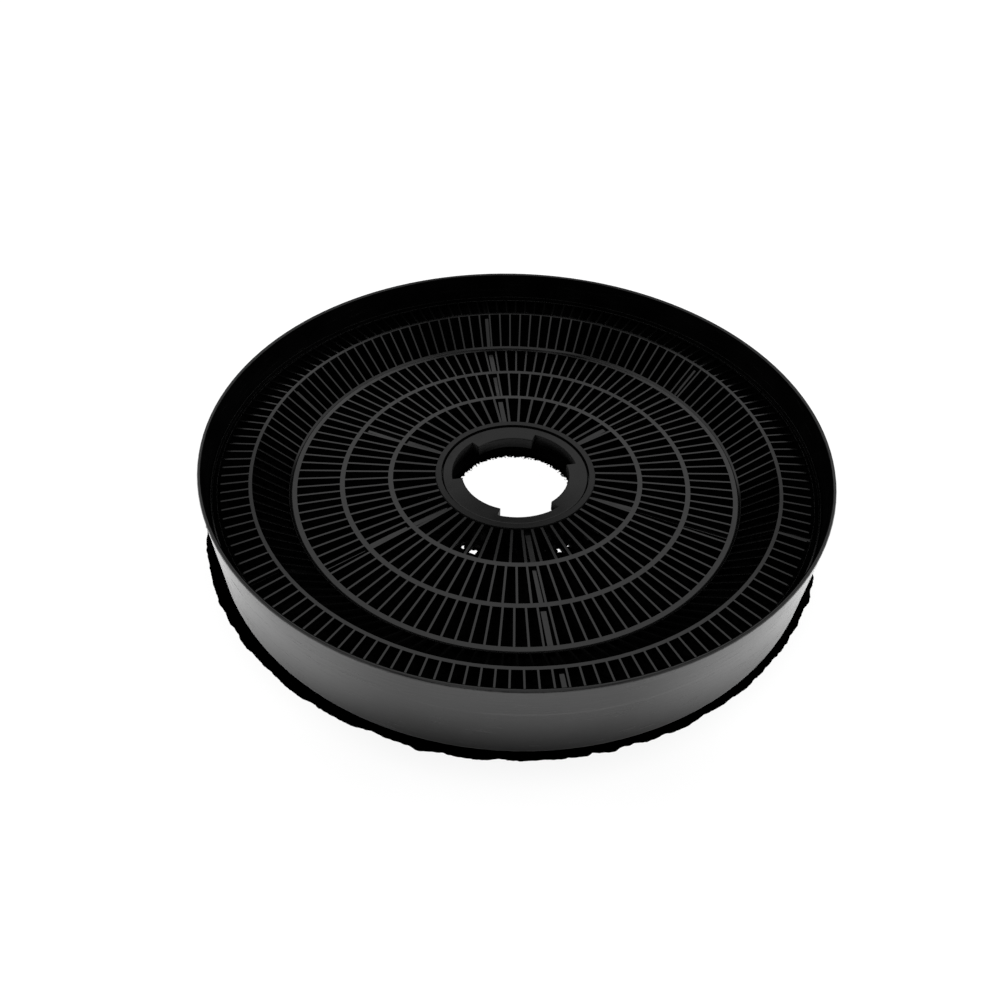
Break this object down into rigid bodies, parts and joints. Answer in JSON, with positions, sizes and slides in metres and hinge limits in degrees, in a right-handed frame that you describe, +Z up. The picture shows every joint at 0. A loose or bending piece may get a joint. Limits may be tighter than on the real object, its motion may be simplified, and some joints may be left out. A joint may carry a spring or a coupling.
{
  "type": "cooker hood carbon filter",
  "caption": "Round drum-shaped carbon filter for a cooker hood, with a dished slotted grille and a central bayonet collar.",
  "frame": {"origin": "centre of the floor's underside, on the drum's axis", "axes": "+Z up along the axis, from the floor to the open rim; +X to the right and +Y away from the viewer of the picture"},
  "size_m": [0.235, 0.235, 0.035],
  "materials": {
    "casing_plastic": "black moulded plastic, half gloss",
    "grille_plastic": "black moulded plastic, half gloss",
    "carbon": "loose black carbon grains"
  },
  "bodies": {
    "root": {"casing": "casing_plastic", "top_grille": "grille_plastic", "carbon_bed_1": "carbon", "carbon_bed_2": "carbon", "carbon_bed_3": "carbon", "carbon_bed_4": "carbon", "carbon_bed_5": "carbon", "carbon_bed_6": "carbon"}
  },
  "joints": []
}
